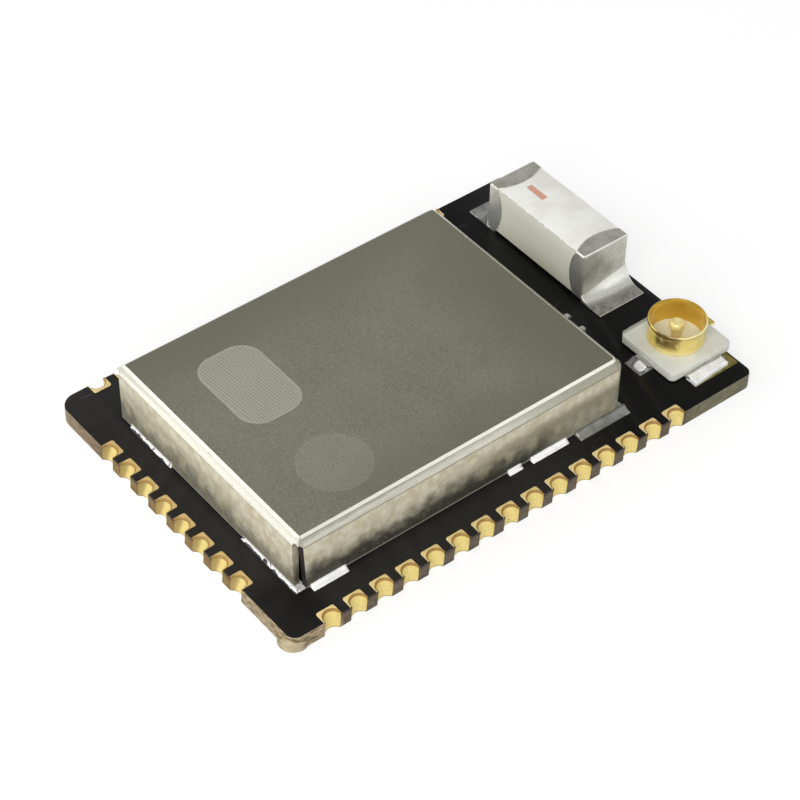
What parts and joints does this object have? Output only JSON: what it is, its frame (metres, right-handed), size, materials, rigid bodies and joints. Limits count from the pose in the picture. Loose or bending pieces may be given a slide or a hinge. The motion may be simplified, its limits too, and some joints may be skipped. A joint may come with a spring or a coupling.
{
  "type": "wifi module",
  "caption": "Flat radio module: a castellated circuit board with a shield can, a chip antenna and a miniature coaxial receptacle.",
  "frame": {"origin": "centre of the board's outline, on its underside", "axes": "+X along the board towards the antenna and the receptacle, +Y across the board towards its far row of contacts, +Z out of the component side"},
  "size_m": [0.0196, 0.0128, 0.0028],
  "materials": {
    "laminate": "black solder mask over a glass laminate, semi-gloss",
    "contact_plating": "pale gold plating",
    "can_sheet": "dull tinned sheet, grey-olive",
    "antenna_ceramic": "matte white ceramic",
    "terminal_plating": "dull grey tinned end bands",
    "solder": "bright solder",
    "housing_plastic": "off-white moulding",
    "receptacle_gold": "deep gold plating, polished",
    "small_chip_body": "black body between tinned ends",
    "radio_chip_body": "black moulded package"
  },
  "bodies": {
    "root": {"circuit_board": "laminate", "contact_01": "contact_plating", "contact_02": "contact_plating", "contact_03": "contact_plating", "contact_04": "contact_plating", "contact_05": "contact_plating", "contact_06": "contact_plating", "contact_07": "contact_plating", "contact_08": "contact_plating", "contact_09": "contact_plating", "contact_10": "contact_plating", "contact_11": "contact_plating", "contact_12": "contact_plating", "contact_13": "contact_plating", "contact_14": "contact_plating", "contact_15": "contact_plating", "contact_16": "contact_plating", "contact_17": "contact_plating", "contact_18": "contact_plating", "contact_19": "contact_plating", "contact_20": "contact_plating", "contact_21": "contact_plating", "contact_22": "contact_plating", "contact_23": "contact_plating", "contact_24": "contact_plating", "contact_25": "contact_plating", "contact_26": "contact_plating", "contact_27": "contact_plating", "contact_28": "contact_plating", "contact_29": "contact_plating", "contact_30": "contact_plating", "contact_31": "contact_plating", "contact_32": "contact_plating", "contact_33": "contact_plating", "contact_34": "contact_plating", "contact_35": "contact_plating", "contact_36": "contact_plating", "contact_37": "contact_plating", "contact_38": "contact_plating", "shield_can": "can_sheet", "antenna_block": "antenna_ceramic", "antenna_terminal_near": "terminal_plating", "antenna_terminal_far": "terminal_plating", "antenna_joint_near": "solder", "antenna_joint_far": "solder", "signal_joint": "solder", "ground_joint_near": "solder", "ground_joint_far": "solder", "can_joint_01": "solder", "can_joint_02": "solder", "can_joint_03": "solder", "can_joint_04": "solder", "can_joint_05": "solder", "can_joint_06": "solder", "can_joint_07": "solder", "connector_housing": "housing_plastic", "connector_shell": "receptacle_gold", "connector_pin": "receptacle_gold", "small_chip": "small_chip_body", "radio_chip": "radio_chip_body"}
  },
  "joints": []
}
